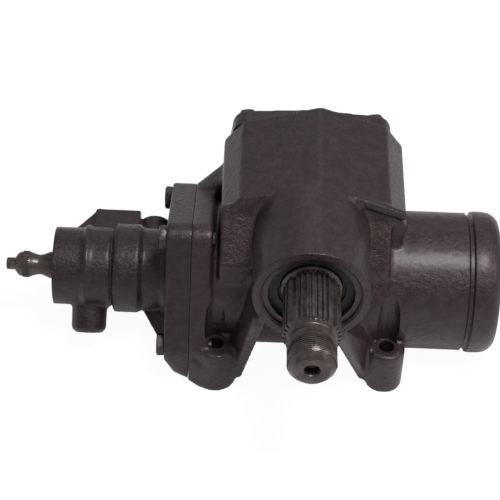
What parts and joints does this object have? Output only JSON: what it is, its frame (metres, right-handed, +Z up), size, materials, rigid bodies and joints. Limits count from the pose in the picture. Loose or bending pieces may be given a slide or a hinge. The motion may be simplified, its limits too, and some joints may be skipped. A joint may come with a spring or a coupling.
{
  "type": "power steering gearbox",
  "caption": "Recirculating-ball power steering gearbox with a bolted valve housing, splined input and pitman shafts, rack piston and toothed sector.",
  "frame": {"origin": "middle of the bounding box on the floor plane, which is the plane of the four mounting bosses", "axes": "+X along the piston and worm towards the closed end of the cylinder, -Y the way the pitman shaft points, +Z up from the mounting plane"},
  "size_m": [0.317, 0.2314, 0.136],
  "materials": {
    "iron": "semi-gloss black-brown paint over rough cast iron",
    "shaft": "steel under the same thin dark paint",
    "fastener": "steel bolts painted with the housing",
    "plug": "machined steel, dark paint",
    "clip": "dark spring steel",
    "inner_steel": "ground bearing steel, oiled",
    "brass_seat": "turned brass",
    "seal": "black nitrile rubber",
    "gasket": "pressed fibre gasket",
    "ring_plastic": "filled PTFE rings"
  },
  "bodies": {
    "housing": {"adjuster_locknut": "plug", "adjuster_plug": "plug", "cover_bolt_1": "fastener", "cover_bolt_2": "fastener", "cover_bolt_3": "fastener", "cover_bolt_4": "fastener", "cover_bolt_5": "fastener", "cover_bolt_6": "fastener", "cover_gasket": "gasket", "cylinder_end_plug": "plug", "end_plug_o_ring": "seal", "end_retaining_ring": "clip", "input_dust_seal": "seal", "input_shaft_bearing": "inner_steel", "input_shaft_seal": "seal", "lash_adjuster_locknut": "fastener", "lash_adjuster_screw": "fastener", "lower_thrust_bearing": "inner_steel", "main_housing": "iron", "pressure_port_seat": "brass_seat", "return_port_seat": "brass_seat", "sector_backup_washer": "clip", "sector_bearing_inner": "inner_steel", "sector_bearing_outer": "inner_steel", "sector_shaft_seal": "seal", "sector_snap_ring": "clip", "side_cover": "iron", "upper_thrust_bearing": "inner_steel", "valve_housing": "iron", "valve_housing_bolt_1": "fastener", "valve_housing_bolt_2": "fastener", "valve_housing_bolt_3": "fastener", "valve_housing_bolt_4": "fastener"},
    "rack_piston": {"rack_piston": "inner_steel", "piston_ring": "ring_plastic", "rack_piston_end_plug": "inner_steel", "ball_return_guide": "inner_steel", "ball_guide_clamp": "inner_steel", "recirculating_ball_1": "inner_steel", "recirculating_ball_10": "inner_steel", "recirculating_ball_11": "inner_steel", "recirculating_ball_12": "inner_steel", "recirculating_ball_2": "inner_steel", "recirculating_ball_3": "inner_steel", "recirculating_ball_4": "inner_steel", "recirculating_ball_5": "inner_steel", "recirculating_ball_6": "inner_steel", "recirculating_ball_7": "inner_steel", "recirculating_ball_8": "inner_steel", "recirculating_ball_9": "inner_steel"},
    "sector_shaft": {"sector_shaft": "shaft"},
    "worm": {"worm_shaft": "inner_steel", "valve_sleeve": "inner_steel", "sleeve_seal_ring_1": "ring_plastic", "sleeve_seal_ring_2": "ring_plastic", "sleeve_seal_ring_3": "ring_plastic", "sleeve_seal_ring_4": "ring_plastic"},
    "input_shaft": {"input_shaft": "shaft", "torsion_bar": "inner_steel"}
  },
  "joints": [
    {"name": "piston_slide", "type": "slide", "parent": "housing", "child": "rack_piston", "axis": [1, 0, 0], "range_m": [-0.0225, 0.0225]},
    {"name": "sector_shaft_turn", "type": "hinge", "parent": "housing", "child": "sector_shaft", "pos_m": [0.03715, 0.02275, 0.1], "axis": [0, 1, 0], "range_deg": [-43, 43]},
    {"name": "worm_turn", "type": "hinge", "parent": "housing", "child": "worm", "pos_m": [0.03715, 0.02275, 0.046], "axis": [1, 0, 0], "range_deg": [-614, 614]},
    {"name": "input_shaft_twist", "type": "hinge", "parent": "worm", "child": "input_shaft", "pos_m": [0.03715, 0.02275, 0.046], "axis": [1, 0, 0], "range_deg": [-6.5, 6.5], "stiffness_Nm_per_rad": 60}
  ],
  "couplings": [
    {"joint": "sector_shaft_turn", "follows": "piston_slide", "rad_per_m": -33.333},
    {"joint": "worm_turn", "follows": "piston_slide", "rad_per_m": -476}
  ]
}
